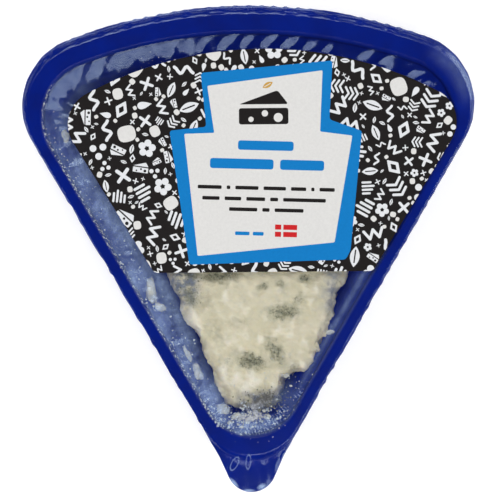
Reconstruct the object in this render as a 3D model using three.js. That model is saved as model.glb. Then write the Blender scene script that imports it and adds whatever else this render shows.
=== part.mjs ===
// A wedge of creamy blue cheese in its sealed retail pack.
// The pack is a deep blue tray, formed from one sheet to the shape of a circle's sector. The cheese
// lies in its well, a clear peel-off film is sealed to the flange, and a printed label lies on the film.
// Millimetres, +Z up. The tray stands on z = 0, its arc towards +Y and its peel tab towards -Y, and the
// origin is the middle of the pack's footprint.
import * as THREE from "three";
import { mergeVertices } from "three/addons/utils/BufferGeometryUtils.js";

// The pack's outline is a sector about a point just below its tip.
const HALF_ANGLE = THREE.MathUtils.degToRad(30.26);
const ARC_RADIUS = 140.2;
const CORNER_RADIUS = 19.6;
const TAB_RADIUS = 6.9;
const TAB_CENTRE = 12.25; // from the sector's point to the middle of the tab's round end
const TAB_BEND = 17.6; // from the sector's point, along a side, to where the tab's own sides begin
const SECTOR_POINT_Y = -(ARC_RADIUS + TAB_CENTRE - TAB_RADIUS) / 2;

// The well's mouth, and the band round it that the film is sealed to.
const MOUTH_ARC_RADIUS = 133.0;
const MOUTH_SIDE_INSET = 3.2;
const MOUTH_CORNER_RADIUS = 16.3;
const MOUTH_TIP_RADIUS = 14.4;
const BAND_ARC_RADIUS = 137.8;
const BAND_SIDE_INSET = 0.7;
const BAND_CORNER_RADIUS = 18.3;
const BAND_TIP_RADIUS = 14.5;
// From the sector's point, along a side, to where the band's tip begins to curve.
const BAND_TOUCH = (BAND_TIP_RADIUS + BAND_SIDE_INSET) / Math.tan(HALF_ANGLE);

// Heights and wall of the tray.
const TRAY_HEIGHT = 24.0;
const WALL = 0.6;
const WALL_LEAN = 3.4; // how far the wall leans in between the mouth and the floor
const MOUTH_ROLL = 0.8;
const FLOOR_ROLL = 2.4;
const FLOOR_HOLLOW = 0.1; // how far the floor's underside rises inside its three corners
const FOOT_MIDDLE = new THREE.Vector2(0, 11.9); // as far from the foot's tip as from its corners
const LIP_SLOPE = 0.5;
const LIP_DROP = 0.9;
const LIP_RUN = 1.7; // the lip drops within this distance, and runs level from there to its edge

// The film, and the label that bridges the film's fine wrinkles.
const FILM = 0.2;
const FILM_GAP = 0.2;
const FILM_SAG = 1.2;
const SAG_REACH = 36;
// How far in the film keeps the mouth's shape, and where its rings shrink to from there.
const FILM_KEPT = MOUTH_TIP_RADIUS * 0.9;
const FILM_MIDDLE = new THREE.Vector2(0, 14);
const FILM_SHRUNK = [0.7, 0.3];
const LABEL = 0.2;
const LABEL_GAP = 0.4;

// The label's outline. It is narrower than the well and lies a little to the right of it.
const LABEL_CENTRE_X = 3.8;
const LABEL_TOP_Y = 55.2;
const LABEL_BOTTOM_Y = -6.5;
const LABEL_WIDTH = 107.5;
const LABEL_ARC_RADIUS = 104.2;
const LABEL_SIDE_ANGLE = THREE.MathUtils.degToRad(31.4);
const LABEL_CORNER_RADIUS = 9.5;
const LABEL_FOOT_RADIUS = 2.0;
const LABEL_MIDDLE_Y = 22;
const LABEL_SHRUNK = [0.8, 0.55, 0.3, 0.12, 0]; // how far the label's rings shrink to its middle

// The cheese, a slice of a low wheel with its point crumbled away.
const CHEESE_POINT = new THREE.Vector2(1.5, -60.8);
const CHEESE_LEFT = THREE.MathUtils.degToRad(-24.6);
const CHEESE_RIGHT = THREE.MathUtils.degToRad(25.7);
const CHEESE_RADIUS = 106.6;
const CHEESE_TIP = 15.6;
const CHEESE_HEIGHT = 20.6;
const CHEESE_GAP = 0.2;
const EDGE_ROUND = 2.4; // how far in from an edge the top begins to fall
const EDGE_FALL = 1.7;
const FOOT_DRAW = 3.2; // how far the foot is drawn in under the top
const TIP_BLUNT = 4.2; // how far the tip's two corners are worn back
const HEEL_WEAR = 5.0; // how far the two corners at the rim are worn back
const SIDE_BULGE = { radius: 37, spread: 7, height: 2.2 }; // where the right side swells
// The right side of the tip has broken off, as far as this from the wedge's point.
const TIP_BREAK = { radius: 28.2, spread: 1.0, depth: 4.8, atFoot: 0.2 };

// Pockets where blue mould has opened the paste: place, half-length, half-width, turn and depth.
const POCKETS = [
  { x: 9.4, y: -17.6, long: 4.2, wide: 1.7, turn: 4, deep: 1.6 },
  { x: 0.4, y: -31.4, long: 3.9, wide: 1.7, turn: -6, deep: 1.6 },
  { x: 6.8, y: -28.6, long: 4.0, wide: 1.6, turn: -62, deep: 1.5 },
  { x: -8.2, y: -7.2, long: 5.4, wide: 1.7, turn: 3, deep: 1.5 },
  { x: -10.3, y: -22.4, long: 3.0, wide: 1.8, turn: -50, deep: 1.3 },
  { x: -15.2, y: -14.0, long: 3.0, wide: 2.3, turn: -50, deep: 1.5 },
  { x: 17.2, y: -8.3, long: 2.8, wide: 1.6, turn: 30, deep: 1.1 },
  { x: 20.0, y: 11.9, long: 6.0, wide: 2.2, turn: 25, deep: 1.6 },
  { x: -12.0, y: 15.8, long: 6.5, wide: 2.3, turn: -18, deep: 1.6 },
  { x: 4.4, y: 29.9, long: 7.0, wide: 2.3, turn: 8, deep: 1.6 },
  { x: 29.4, y: 28.0, long: 6.0, wide: 2.3, turn: -35, deep: 1.5 },
  { x: -24.6, y: 30.7, long: 6.0, wide: 2.3, turn: 40, deep: 1.5 },
];

// Into how many steps each stretch of an outline is cut.
const TAB_STEPS = 10;
const BEND_STEPS = 2;
const FLARE_STEPS = 3;
const TIP_STEPS = TAB_STEPS + BEND_STEPS + FLARE_STEPS;
const SIDE_STEPS = 12;
const CORNER_STEPS = 9;
const ARC_STEPS = 9;

const { lerp, degToRad } = THREE.MathUtils;

// Angles run from +Y towards +X.
const polar = (centre, radius, angle) =>
  new THREE.Vector2(
    centre.x + radius * Math.sin(angle),
    centre.y + radius * Math.cos(angle),
  );

// Points from a to b, without b itself.
const straight = (a, b, steps) =>
  Array.from({ length: steps }, (_, i) => a.clone().lerp(b, i / steps));

// Points along an arc, without its last one.
const arc = (centre, radius, from, to, steps) =>
  Array.from({ length: steps }, (_, i) =>
    polar(centre, radius, lerp(from, to, i / steps)),
  );

// Closes the right half of an outline, which ends on the Y axis, with its mirror image.
function mirrored(right) {
  const inner = right.slice(Math.abs(right[0].x) < 1e-6 ? 1 : 0, -1).reverse();
  return [...right, ...inner.map((p) => new THREE.Vector2(-p.x, p.y))];
}

const POINT = new THREE.Vector2(0, SECTOR_POINT_Y);
const SQUARE = HALF_ANGLE + Math.PI / 2; // the direction straight out of the pack's right side

// From the bottom of the tip to the start of the right side: part of a circle that touches both sides.
function roundTip(inset, radius) {
  const centre = polar(POINT, (radius + inset) / Math.sin(HALF_ANGLE), 0);
  return [
    ...arc(centre, radius, Math.PI, SQUARE, TIP_STEPS),
    polar(centre, radius, SQUARE),
  ];
}

// The same stretch of the pack's edge, where a small round tab stands out below the band's tip.
function tabTip() {
  const centre = polar(POINT, TAB_CENTRE, 0);
  const bend = polar(POINT, TAB_BEND, HALF_ANGLE);
  const away = bend.clone().sub(centre);
  const touch =
    Math.atan2(away.x, away.y) + Math.acos(TAB_RADIUS / away.length());
  const sideStart = polar(POINT, BAND_TOUCH, HALF_ANGLE);
  return [
    ...arc(centre, TAB_RADIUS, Math.PI, touch, TAB_STEPS),
    ...straight(polar(centre, TAB_RADIUS, touch), bend, BEND_STEPS),
    ...straight(bend, sideStart, FLARE_STEPS),
    sideStart,
  ];
}

// An outline of the pack, anticlockwise from the bottom of its tip, with its sides inset from the pack's.
function sector(tip, inset, cornerRadius, arcRadius) {
  const reach = arcRadius - cornerRadius;
  const angle = HALF_ANGLE - Math.asin((cornerRadius + inset) / reach);
  const corner = polar(POINT, reach, angle);
  const sideStart = tip[tip.length - 1];
  const sideEnd = polar(corner, cornerRadius, SQUARE);
  return mirrored([
    ...tip.slice(0, -1),
    ...straight(sideStart, sideEnd, SIDE_STEPS),
    ...arc(corner, cornerRadius, SQUARE, angle, CORNER_STEPS),
    ...arc(POINT, arcRadius, angle, 0, ARC_STEPS),
    polar(POINT, arcRadius, 0),
  ]);
}

// The mouth's outline moved inwards by a distance.
function mouth(inwards) {
  const inset = MOUTH_SIDE_INSET + inwards;
  return sector(
    roundTip(inset, MOUTH_TIP_RADIUS - inwards),
    inset,
    MOUTH_CORNER_RADIUS - inwards,
    MOUTH_ARC_RADIUS - inwards,
  );
}

const bandOutline = sector(
  roundTip(BAND_SIDE_INSET, BAND_TIP_RADIUS),
  BAND_SIDE_INSET,
  BAND_CORNER_RADIUS,
  BAND_ARC_RADIUS,
);
const edgeOutline = sector(tabTip(), 0, CORNER_RADIUS, ARC_RADIUS);

const level = (outline, z) =>
  outline.map((p) => new THREE.Vector3(p.x, p.y, z));

const raise = (ring, dz) =>
  ring.map((p) => new THREE.Vector3(p.x, p.y, p.z + dz));

// The lip outside the band, at a share of its way down: it falls fast, then runs level to its edge.
function lip(share) {
  return edgeOutline.map((end, i) => {
    const start = bandOutline[i];
    const width = start.distanceTo(end);
    const run = lerp(Math.min(width * 0.9, LIP_RUN), width, share);
    const drop = Math.min(LIP_SLOPE * width, LIP_DROP);
    const p = start.clone().lerp(end, run / width);
    return new THREE.Vector3(p.x, p.y, TRAY_HEIGHT - drop);
  });
}

const middleOf = (ring) =>
  ring
    .reduce((sum, p) => sum.add(p), new THREE.Vector3())
    .divideScalar(ring.length);

// A closed solid through rings of equal length, the first and last closed by a fan about their middle.
// A quad is halved along the same diagonal whichever way its rings run, so a sheet's faces stay parallel.
function loft(rings) {
  const count = rings[0].length;
  const points = rings.flat();
  const first = points.push(middleOf(rings[0])) - 1;
  const last = points.push(middleOf(rings[rings.length - 1])) - 1;
  const end = (rings.length - 1) * count;
  const faces = [];
  for (let i = 0; i < count; i++) {
    const j = (i + 1) % count;
    faces.push(first, i, j, last, end + j, end + i);
    for (let k = 0; k + 1 < rings.length; k++) {
      const a = k * count;
      const b = a + count;
      if (rings[k + 1][0].y < rings[k][0].y) {
        faces.push(a + i, b + i, b + j, a + i, b + j, a + j);
      } else {
        faces.push(a + i, b + i, a + j, b + i, b + j, a + j);
      }
    }
  }
  const geometry = new THREE.BufferGeometry().setFromPoints(points);
  geometry.setIndex(faces);
  geometry.computeVertexNormals();
  return geometry;
}

// A thin sheet, from the rings of its underside, the innermost first.
const sheet = (under, thickness) =>
  loft([
    ...under.map((ring) => raise(ring, thickness)),
    ...under.slice().reverse(),
  ]);

// The floor's underside is hollowed a little, so the tray stands on its tip and its two corners.
function foot(outline) {
  const far = outline.map((p) => p.distanceTo(FOOT_MIDDLE));
  const reach = Math.max(...far);
  return outline.map((p, i) => {
    const rise = FLOOR_HOLLOW * (1 - (far[i] / reach) ** 2);
    return new THREE.Vector3(p.x, p.y, rise);
  });
}

// The tray is one sheet: from the floor up the wall, over the band to the lip, and back underneath.
function tray() {
  const roll = FLOOR_ROLL / 4;
  const above = [
    level(mouth(WALL_LEAN + 3 * roll), WALL),
    level(mouth(WALL_LEAN + roll), WALL + roll),
    level(mouth(WALL_LEAN), WALL + FLOOR_ROLL),
    level(mouth(MOUTH_ROLL), TRAY_HEIGHT - 2 * MOUTH_ROLL),
    level(mouth(MOUTH_ROLL / 3), TRAY_HEIGHT - MOUTH_ROLL / 3),
    level(mouth(-MOUTH_ROLL / 2), TRAY_HEIGHT),
    level(bandOutline, TRAY_HEIGHT),
    lip(0),
    lip(1),
  ];
  const below = [
    raise(lip(1), -WALL),
    raise(lip(0), -WALL),
    level(bandOutline, TRAY_HEIGHT - WALL),
    level(mouth(MOUTH_ROLL / 3 - WALL), TRAY_HEIGHT - WALL),
    level(mouth(MOUTH_ROLL - WALL), TRAY_HEIGHT - 2 * MOUTH_ROLL - WALL),
    level(mouth(WALL_LEAN - WALL), WALL + FLOOR_ROLL),
    level(mouth(WALL_LEAN + roll - WALL), WALL / 2 + roll),
    foot(mouth(WALL_LEAN + 3 * roll)),
  ];
  return loft([...above, ...below]);
}

// How far the film hangs below the band at a point: nothing at the mouth, most over the middle.
function sag(p) {
  const far = Math.hypot(p.x, p.y - SECTOR_POINT_Y);
  const angle = Math.atan2(Math.abs(p.x), p.y - SECTOR_POINT_Y);
  const toSide = far * Math.sin(HALF_ANGLE - angle) - MOUTH_SIDE_INSET;
  const toMouth = Math.max(0, Math.min(MOUTH_ARC_RADIUS - far, toSide));
  const share = Math.min(1, toMouth / SAG_REACH);
  return FILM_SAG * share * (2 - share);
}

const hung = (outline, z) =>
  outline.map((p) => new THREE.Vector3(p.x, p.y, z - sag(p)));

// The film lies on lip and band, and hangs a little over the well. Inside the smallest outline that
// keeps its corners, its rings shrink towards the middle of the well.
function film() {
  const low = TRAY_HEIGHT + FILM_GAP;
  const shrunk = (share) =>
    hung(
      mouth(FILM_KEPT).map((p) => p.lerp(FILM_MIDDLE, share)),
      low,
    );
  return sheet(
    [
      ...FILM_SHRUNK.map(shrunk),
      hung(mouth(FILM_KEPT), low),
      hung(mouth(FILM_KEPT / 3), low),
      level(mouth(0), low),
      level(bandOutline, low),
      raise(lip(0), FILM_GAP),
      raise(lip(1), FILM_GAP),
    ],
    FILM,
  );
}

function label() {
  const arcCentre = new THREE.Vector2(0, LABEL_TOP_Y - LABEL_ARC_RADIUS);
  const cornerX = LABEL_WIDTH / 2 - LABEL_CORNER_RADIUS;
  const cornerReach = LABEL_ARC_RADIUS - LABEL_CORNER_RADIUS;
  const cornerAngle = Math.asin(cornerX / cornerReach);
  const corner = polar(arcCentre, cornerReach, cornerAngle);
  const square = LABEL_SIDE_ANGLE + Math.PI / 2;
  const sideTop = polar(corner, LABEL_CORNER_RADIUS, square);
  const footY = LABEL_BOTTOM_Y + LABEL_FOOT_RADIUS;
  const run = (sideTop.y - footY) * Math.tan(LABEL_SIDE_ANGLE);
  const footX = sideTop.x - run - LABEL_FOOT_RADIUS / Math.cos(LABEL_SIDE_ANGLE);
  const foot = new THREE.Vector2(footX, footY);
  const outline = mirrored([
    ...arc(foot, LABEL_FOOT_RADIUS, Math.PI, square, 4),
    ...straight(polar(foot, LABEL_FOOT_RADIUS, square), sideTop, 6),
    ...arc(corner, LABEL_CORNER_RADIUS, square, cornerAngle, 7),
    ...arc(arcCentre, LABEL_ARC_RADIUS, cornerAngle, 0, 10),
    polar(arcCentre, LABEL_ARC_RADIUS, 0),
  ]);
  const low = TRAY_HEIGHT + FILM_GAP + FILM + LABEL_GAP;
  const ring = (share) =>
    hung(
      outline.map((p) =>
        new THREE.Vector2(
          lerp(p.x, 0, share) + LABEL_CENTRE_X,
          lerp(p.y, LABEL_MIDDLE_Y, share),
        ),
      ),
      low,
    );
  return sheet(LABEL_SHRUNK.map(ring), LABEL);
}

// The unevenness of a face that was cut by wire and has slumped since: a few crossed waves.
const slump = (x, y) =>
  0.42 * Math.sin(0.19 * x + 0.11 * y + 0.6) * Math.cos(0.07 * x - 0.23 * y) +
  0.28 * Math.sin(0.47 * x - 0.31 * y + 1.9 + Math.sin(0.2 * y)) +
  0.14 * Math.sin(0.7 * y + 0.4 * x) * Math.cos(0.62 * x - 0.2 * y);

// How far a side is crumbled in, by the distance from the wedge's point and the height on the side.
const crumble = (radius, share) =>
  0.55 * Math.sin(0.21 * radius + 1.4 * Math.sin(0.13 * radius) + 1.1 * share) +
  0.35 * Math.sin(0.57 * radius + 2.3 * share + 1.7);

// How deep the mould pockets are at a point of the top.
function pocketDepth(x, y) {
  return POCKETS.reduce((depth, pocket) => {
    const turn = degToRad(pocket.turn);
    const dx = x - pocket.x;
    const dy = y - pocket.y;
    const u = (dx * Math.cos(turn) + dy * Math.sin(turn)) / pocket.long;
    const v = (dy * Math.cos(turn) - dx * Math.sin(turn)) / pocket.wide;
    return Math.max(depth, pocket.deep * Math.exp(-(u * u + v * v)));
  }, 0);
}

// The cheese starts as a block, and its points are bent into the wedge: what was across becomes the
// angle, and what was along the radius. Corners and edges are worn, and the cut faces crumble.
function cheese() {
  const block = new THREE.BoxGeometry(2, 1, 1, 24, 36, 6);
  block.translate(0, 0.5, 0.5);
  block.deleteAttribute("normal");
  block.deleteAttribute("uv");
  const geometry = mergeVertices(block, 1e-5);
  const at = geometry.attributes.position;
  const floor = WALL + CHEESE_GAP;
  const middle = (CHEESE_LEFT + CHEESE_RIGHT) / 2;
  const half = (CHEESE_RIGHT - CHEESE_LEFT) / 2;
  for (let i = 0; i < at.count; i++) {
    const across = at.getX(i);
    const along = at.getY(i);
    const share = at.getZ(i);
    const radius = lerp(CHEESE_TIP, CHEESE_RADIUS, along ** 1.2);
    // Near the narrow tip, what moves a side carries more of the width with it.
    const sideness = Math.abs(across) ** Math.min(5, radius / 12);
    const foot = FOOT_DRAW * (1 - share) ** 2;
    // The distances to the nearest side and end decide how the upper edge is rounded.
    const toSide = (1 - Math.abs(across)) * half * radius;
    const toEnd = Math.min(radius - CHEESE_TIP, CHEESE_RADIUS - radius);
    const near = Math.max(0, 1 - Math.min(toSide, toEnd) / EDGE_ROUND);
    const worn =
      TIP_BLUNT * across ** 2 * (1 - along) ** 8 -
      HEEL_WEAR * across ** 8 * along ** 12 -
      (foot + crumble(across * half * radius, share) / 2) * (along ** 16 - (1 - along) ** 6);
    const p = polar(CHEESE_POINT, radius + worn, middle + across * half);
    const away = (radius - SIDE_BULGE.radius) / SIDE_BULGE.spread;
    const bulge = across > 0 ? share * SIDE_BULGE.height * Math.exp(-away * away) : 0;
    const reached = TIP_BREAK.depth / (1 + Math.exp((radius - TIP_BREAK.radius) / TIP_BREAK.spread));
    const broken =
      across > 0
        ? (reached * lerp(TIP_BREAK.atFoot, 1, share) * radius) / TIP_BREAK.radius
        : 0;
    p.x -= Math.sign(across) * sideness * (foot + crumble(radius, share) - bulge + broken);
    const top =
      CHEESE_HEIGHT - EDGE_FALL * near ** 2 + slump(p.x, p.y) - pocketDepth(p.x, p.y);
    at.setXYZ(i, p.x, p.y, floor + share * top);
  }
  geometry.computeVertexNormals();
  return geometry;
}

function piece(name, geometry, look) {
  const mesh = new THREE.Mesh(geometry, new THREE.MeshStandardMaterial(look));
  mesh.name = name;
  return mesh;
}

const pack = new THREE.Group();
pack.add(
  piece("tray", tray(), { color: 0x0b1e76, roughness: 0.22 }),
  piece("cheese", cheese(), { color: 0xd6ceb4, roughness: 0.6 }),
  piece("lid_film", film(), {
    color: 0xe8ecf4,
    roughness: 0.08,
    transparent: true,
    opacity: 0.25,
  }),
  piece("label", label(), { color: 0x1f1d1d, roughness: 0.4 }),
);

export default pack;
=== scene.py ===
# A wedge of creamy blue cheese in its sealed retail pack, lying flat and seen from straight above.
# Sizes are in millimetres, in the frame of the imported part. MM turns them into metres as a mesh is made.
from math import acos, asin, atan2, cos, exp, pi, radians, sin, tan, tau

import bmesh
import bpy
import numpy as np
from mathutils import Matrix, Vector
from mathutils.geometry import delaunay_2d_cdt
from mathutils.kdtree import KDTree


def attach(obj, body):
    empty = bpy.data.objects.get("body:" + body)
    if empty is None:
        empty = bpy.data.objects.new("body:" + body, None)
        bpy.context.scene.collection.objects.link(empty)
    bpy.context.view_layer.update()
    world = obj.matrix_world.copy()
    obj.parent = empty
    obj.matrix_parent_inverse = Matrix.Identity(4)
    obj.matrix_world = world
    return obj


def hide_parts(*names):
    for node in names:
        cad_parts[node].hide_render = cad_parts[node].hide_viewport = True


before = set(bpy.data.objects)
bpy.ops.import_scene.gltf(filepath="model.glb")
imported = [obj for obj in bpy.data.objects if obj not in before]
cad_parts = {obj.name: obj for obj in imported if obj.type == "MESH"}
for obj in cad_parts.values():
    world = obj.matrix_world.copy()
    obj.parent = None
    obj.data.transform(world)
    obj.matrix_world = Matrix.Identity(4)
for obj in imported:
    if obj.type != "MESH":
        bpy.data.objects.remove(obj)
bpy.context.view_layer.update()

scene = bpy.context.scene

# Tray.
# One sheet of deep blue polypropylene, formed over a mould into a well with a flat sealing band, and
# cut out with a die whose edge leaves small waves. The lip outside the band bends down a little.
MM = 0.001
HALF_ANGLE = radians(30.26)  # from the pack's middle line to its side
ARC_RADIUS = 140.2
CORNER_RADIUS = 19.6
TAB_RADIUS = 6.9
TAB_CENTRE = 12.25
TAB_BEND = 17.6
SECTOR_POINT = np.array([0.0, -(ARC_RADIUS + TAB_CENTRE - TAB_RADIUS) / 2])
SQUARE = HALF_ANGLE + pi / 2
MOUTH_ARC_RADIUS = 133.0
MOUTH_SIDE_INSET = 3.2
MOUTH_CORNER_RADIUS = 16.3
MOUTH_TIP_RADIUS = 14.4
BAND_ARC_RADIUS = 137.8
BAND_SIDE_INSET = 0.7
BAND_CORNER_RADIUS = 18.3
BAND_TIP_RADIUS = 14.5
BAND_TOUCH = (BAND_TIP_RADIUS + BAND_SIDE_INSET) / tan(HALF_ANGLE)
TRAY_HEIGHT = 24.0
WALL = 0.6
WALL_LEAN = 3.4
MOUTH_ROLL = (1.2, 1.6)  # width and height of the rounding at the mouth
FLOOR_ROLL = (1.8, 2.4)
LIP_SLOPE = 0.5
LIP_DROP = 0.9
LIP_RUN = 1.7
TAB_STEPS = 30
BEND_STEPS = 12
FLARE_STEPS = 18
TIP_STEPS = TAB_STEPS + BEND_STEPS + FLARE_STEPS
SIDE_STEPS = 190
CORNER_STEPS = 50
ARC_STEPS = 120


def polar(centre, radius, angle):
    """A point or points round a centre. Angles run from +Y towards +X."""
    return np.asarray(centre) + radius * np.stack([np.sin(angle), np.cos(angle)], -1)


def straight(a, b, steps):
    return a + (b - a) * np.arange(steps)[:, None] / steps


def arc(centre, radius, start, end, steps):
    return polar(centre, radius, start + (end - start) * np.arange(steps) / steps)


def mirrored(right):
    """Closes the right half of an outline with its mirror image."""
    first = 1 if abs(right[0][0]) < 1e-6 else 0
    return np.concatenate([right, right[first:-1][::-1] * [-1, 1]])


def round_tip(inset, radius):
    centre = polar(SECTOR_POINT, (radius + inset) / sin(HALF_ANGLE), 0)
    curve = arc(centre, radius, pi, SQUARE, TIP_STEPS)
    return np.concatenate([curve, [polar(centre, radius, SQUARE)]])


def tab_tip():
    """The same stretch of the pack's edge, where a small round tab stands out below the band's tip."""
    centre = polar(SECTOR_POINT, TAB_CENTRE, 0)
    bend = polar(SECTOR_POINT, TAB_BEND, HALF_ANGLE)
    away = bend - centre
    touch = atan2(away[0], away[1]) + acos(TAB_RADIUS / np.hypot(*away))
    side_start = polar(SECTOR_POINT, BAND_TOUCH, HALF_ANGLE)
    round_end = arc(centre, TAB_RADIUS, pi, touch, TAB_STEPS)
    side = straight(polar(centre, TAB_RADIUS, touch), bend, BEND_STEPS)
    return np.concatenate([round_end, side, straight(bend, side_start, FLARE_STEPS), [side_start]])


def sector(tip, inset, corner_radius, arc_radius):
    """An outline of the pack, anticlockwise from the bottom of its tip."""
    reach = arc_radius - corner_radius
    angle = HALF_ANGLE - asin((corner_radius + inset) / reach)
    corner = polar(SECTOR_POINT, reach, angle)
    side = straight(tip[-1], polar(corner, corner_radius, SQUARE), SIDE_STEPS)
    bend = arc(corner, corner_radius, SQUARE, angle, CORNER_STEPS)
    back = arc(SECTOR_POINT, arc_radius, angle, 0, ARC_STEPS)
    return mirrored(np.concatenate([tip[:-1], side, bend, back, [polar(SECTOR_POINT, arc_radius, 0)]]))


def mouth(inwards):
    """The mouth's outline moved inwards by a distance."""
    inset = MOUTH_SIDE_INSET + inwards
    tip = round_tip(inset, MOUTH_TIP_RADIUS - inwards)
    return sector(tip, inset, MOUTH_CORNER_RADIUS - inwards, MOUTH_ARC_RADIUS - inwards)


def lengths_round(outline):
    """How far each point of an outline is along it, and its whole length."""
    steps = np.linalg.norm(np.roll(outline, -1, 0) - outline, axis=1)
    return np.concatenate([[0], np.cumsum(steps)[:-1]]), steps.sum()


def unit(value):
    """A value held between 0 and 1."""
    return np.clip(value, 0, 1)


def bell(share):
    """1 at nothing, and 0.37 where the share is 1 or -1."""
    return np.exp(-(share**2))


def crimp(turns, depth, waves, seed, slant=0.0):
    """A random field of about unit size round an outline, from crossed waves that close on themselves."""
    draw = np.random.default_rng(seed)
    total = 0
    for _ in range(10):
        count = round(waves * draw.uniform(0.55, 1.5))
        lean = slant + draw.uniform(-0.5, 0.5)
        total = total + np.sin(tau * (count * turns + draw.random()) + lean * depth)
    return total / 3


band_tip = round_tip(BAND_SIDE_INSET, BAND_TIP_RADIUS)
band = sector(band_tip, BAND_SIDE_INSET, BAND_CORNER_RADIUS, BAND_ARC_RADIUS)
smooth_edge = sector(tab_tip(), 0, CORNER_RADIUS, ARC_RADIUS)
along, whole = lengths_round(smooth_edge)
turns = along / whole

# The die's waves are long on the left side, shorter on the right and shortest along the arc. They cut
# into the edge, fade towards the tab, and are faint round the corners.
CUT_DEPTH = 0.42
DENT_PITCH = 8.5  # along the arc the lip's bend is dented about as often as this
LEFT_PITCH = 7.7
RIGHT_PITCH = 5.0
ARC_PITCH = 4.0
on_arc = smooth_edge[:, 1] > 50
pitch = np.where(on_arc, ARC_PITCH, np.where(smooth_edge[:, 0] > 0, RIGHT_PITCH, LEFT_PITCH))
cycles = np.cumsum(whole / len(pitch) / pitch)
phase = cycles * round(cycles[-1]) / cycles[-1] * tau
phase = phase + 0.9 * crimp(turns, 0, 23, 4)
strength = unit((smooth_edge[:, 1] + 58) / 12)
strength = strength * np.where(np.abs(smooth_edge[:, 0]) > 50, 0.45, 1)
strength = strength * (0.65 + 0.35 * crimp(turns, 0, 14, 5))
bite = CUT_DEPTH * strength * (0.5 + 0.34 * np.sin(phase) + 0.16 * np.sin(2 * phase + 0.8))
tangent = np.roll(smooth_edge, -1, 0) - np.roll(smooth_edge, 1, 0)
tangent = tangent / np.linalg.norm(tangent, axis=1)[:, None]
outward = np.stack([tangent[:, 1], -tangent[:, 0]], 1)
edge = smooth_edge - outward * np.clip(bite, 0, None)[:, None]
between = (along / DENT_PITCH + 0.5 * crimp(turns, 0, 9, 8)) % 1 - 0.5
dented = on_arc * bell(between / 0.09)


def level(outline, z):
    return np.concatenate([outline, np.full((len(outline), 1), z)], 1)


LIP_RIPPLE = 0.12
LIP_DENT = 0.26
LIP_FLUTE = 0.06
FLUTE_PITCH = 1.9
EDGE_FRAY = 0.16


def lip(stage, lift=0.0):
    """The lip's ring: from 0 to 1 it goes down the slope outside the band, from 1 to 2 out to the edge."""
    width = np.linalg.norm(edge - band, axis=1)
    run = np.minimum(width * 0.9, LIP_RUN)
    out = run * min(stage, 1) + (width - run) * max(stage - 1, 0)
    down = min(stage, 1)
    eased = down * down / 0.84 if down < 0.6 else (1.2 * down - 0.36) / 0.84
    drop = np.minimum(LIP_SLOPE * width, LIP_DROP) * (eased if down < 0.85 else 1 - 0.6 * (1 - down))
    place = band + (edge - band) * (out / width)[:, None]
    on_slope = sin(pi * down)
    wide = unit(width / 2.4)
    ripple = LIP_RIPPLE * wide * on_slope * crimp(turns, 0, 48, 6)
    gaps = unit(dented + unit(2.2 * crimp(turns, 0, 40, 7) - 1))
    dents = LIP_DENT * wide * exp(-(((down - 0.3) / 0.25) ** 2)) * gaps
    right_corner = bell((smooth_edge[:, 0] - 50) / 9) * (smooth_edge[:, 1] > 40)
    flutes = LIP_FLUTE * right_corner * np.sin(tau * along / FLUTE_PITCH) * min(stage, 1)
    frayed = EDGE_FRAY * max(stage - 1, 0) * strength * np.sin(2 * phase + 1.3) * wide
    fall = drop + np.abs(ripple) + np.abs(flutes) + np.abs(frayed) + dents * min(down / 0.1, 1)
    return np.column_stack([place, TRAY_HEIGHT + lift - fall])


def rolled(name, points, fields=None):
    """A closed shape through rings of points: a grid is rolled up, and its two ends are filled."""
    rows, count = points.shape[:2]
    bm = bmesh.new()
    layers = {key: bm.verts.layers.float.new(key) for key in fields or {}}
    bmesh.ops.create_grid(bm, x_segments=count, y_segments=rows - 1, size=1)
    for v in bm.verts:
        i = round((v.co.x + 1) / 2 * count) % count
        k = round((v.co.y + 1) / 2 * (rows - 1))
        for key, layer in layers.items():
            v[layer] = fields[key][k, i]
        v.co = points[k, i] * MM
    bmesh.ops.remove_doubles(bm, verts=bm.verts, dist=1e-9)
    bmesh.ops.holes_fill(bm, edges=[e for e in bm.edges if e.is_boundary], sides=0)
    return shown(name, bm)


def shown(name, bm, sharp=35):
    """Turns a bmesh into an object of the scene, smooth but for its sharp edges."""
    bmesh.ops.recalc_face_normals(bm, faces=bm.faces)
    for f in bm.faces:
        f.smooth = True
    mesh = bpy.data.meshes.new(name)
    bm.to_mesh(mesh)
    bm.free()
    mesh.set_sharp_from_angle(angle=radians(sharp))
    made = bpy.data.objects.new(name, mesh)
    scene.collection.objects.link(made)
    return made


# The profile of the tray's upper face up to the band, as how far it is inside the mouth and its height.
roll = np.linspace(0, pi / 2, 9)
floor_in = WALL_LEAN + FLOOR_ROLL[0] * (1 - np.sin(roll))
floor_arc = np.stack([floor_in, WALL + FLOOR_ROLL[1] * (1 - np.cos(roll))], 1)
roll_in = MOUTH_ROLL[0] * (np.cos(roll) - 1 / 3)
mouth_arc = np.stack([roll_in, TRAY_HEIGHT - MOUTH_ROLL[1] * (1 - np.sin(roll))], 1)
wall_line = np.linspace(floor_arc[-1], mouth_arc[0], 7)[1:-1]
profile = np.concatenate([floor_arc, wall_line, mouth_arc])
direction = np.gradient(profile, axis=0)
direction = direction / np.linalg.norm(direction, axis=1)[:, None]
under = profile + WALL * np.stack([-direction[:, 1], direction[:, 0]], 1)
under[0] = (profile[0][0], 0)
under[-1] = (profile[-1][0], TRAY_HEIGHT - WALL)
band_shares = [0.06, 0.3, 0.7, 0.94]
stages = [0, 0.15, 0.3, 0.45, 0.6, 0.75, 0.9, 1, 1.25, 1.5, 1.75, 1.9, 2]
band_inside = mouth(profile[-1][0])


def band_rings(z):
    return [level(band_inside + (band - band_inside) * share, z) for share in band_shares]


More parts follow.
